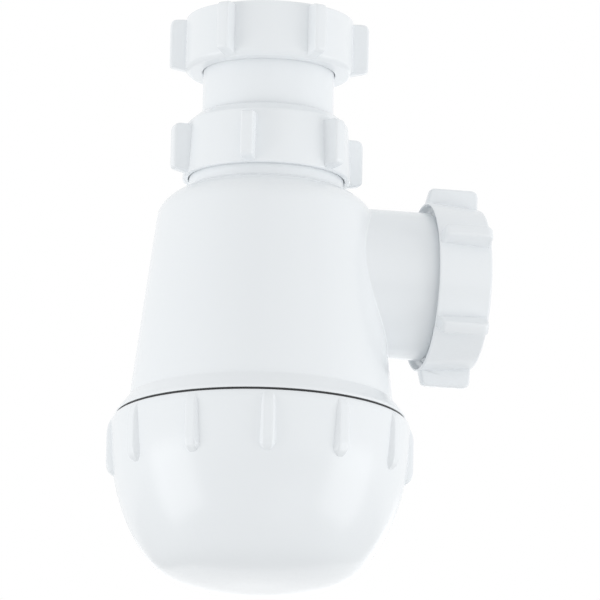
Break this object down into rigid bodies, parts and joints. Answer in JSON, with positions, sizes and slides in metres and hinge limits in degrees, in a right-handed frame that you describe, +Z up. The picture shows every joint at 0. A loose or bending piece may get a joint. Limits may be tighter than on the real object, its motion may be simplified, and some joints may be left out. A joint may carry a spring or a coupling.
{
  "type": "sink trap",
  "caption": "White plastic bottle trap for a kitchen sink: telescopic inlet with a coupling nut, side outlet with a compression nut, tapered body and a screw-off ribbed cup.",
  "frame": {"origin": "centre of the small flat under the cup, on the inlet's axis", "axes": "+Z up along the inlet's axis, +X along the outlet, away from the body"},
  "size_m": [0.1154, 0.0952, 0.1826],
  "materials": {
    "white_plastic": "smooth moulded white, slightly cool",
    "ring_plastic": "natural moulded plastic",
    "black_rubber": "matt black rubber"
  },
  "bodies": {
    "body": {"trap_body": "white_plastic", "neck_seal": "black_rubber", "outlet_seal": "black_rubber"},
    "tube": {"inlet_tube": "white_plastic", "inlet_washer": "black_rubber"},
    "inlet_nut": {"inlet_nut": "white_plastic"},
    "neck_ring": {"neck_ring": "ring_plastic"},
    "neck_nut": {"neck_nut": "white_plastic"},
    "outlet_ring": {"outlet_ring": "ring_plastic"},
    "outlet_nut": {"outlet_nut": "white_plastic"},
    "cup_seal": {"cup_seal": "black_rubber"},
    "cup": {"cup": "white_plastic"}
  },
  "joints": [
    {"name": "tube_slide", "type": "slide", "parent": "body", "child": "tube", "axis": [0, 0, 1], "range_m": [0, 0.03]},
    {"name": "inlet_nut_spin", "type": "hinge", "parent": "tube", "child": "inlet_nut", "pos_m": [0, 0, 0.17395], "axis": [0, 0, 1], "continuous": true},
    {"name": "neck_ring_lift", "type": "slide", "parent": "body", "child": "neck_ring", "axis": [0, 0, 1], "range_m": [0, 0.0105]},
    {"name": "neck_nut_turn", "type": "hinge", "parent": "neck_ring", "child": "neck_nut", "pos_m": [0, 0, 0.13895], "axis": [0, 0, 1], "range_deg": [0, 1620]},
    {"name": "outlet_ring_shift", "type": "slide", "parent": "body", "child": "outlet_ring", "axis": [1, 0, 0], "range_m": [0, 0.0105]},
    {"name": "outlet_nut_turn", "type": "hinge", "parent": "outlet_ring", "child": "outlet_nut", "pos_m": [0.058, 0, 0.1002], "axis": [1, 0, 0], "range_deg": [0, 1620]},
    {"name": "cup_seal_drop", "type": "slide", "parent": "body", "child": "cup_seal", "axis": [0, 0, -1], "range_m": [0, 0.0111]},
    {"name": "cup_turn", "type": "hinge", "parent": "cup_seal", "child": "cup", "pos_m": [0, 0, 0.04295], "axis": [0, 0, -1], "range_deg": [0, 990]}
  ],
  "couplings": [
    {"joint": "neck_ring_lift", "follows": "neck_nut_turn", "m_per_rad": 0.00036749},
    {"joint": "outlet_ring_shift", "follows": "outlet_nut_turn", "m_per_rad": 0.00036749},
    {"joint": "cup_seal_drop", "follows": "cup_turn", "m_per_rad": 0.00063662}
  ]
}
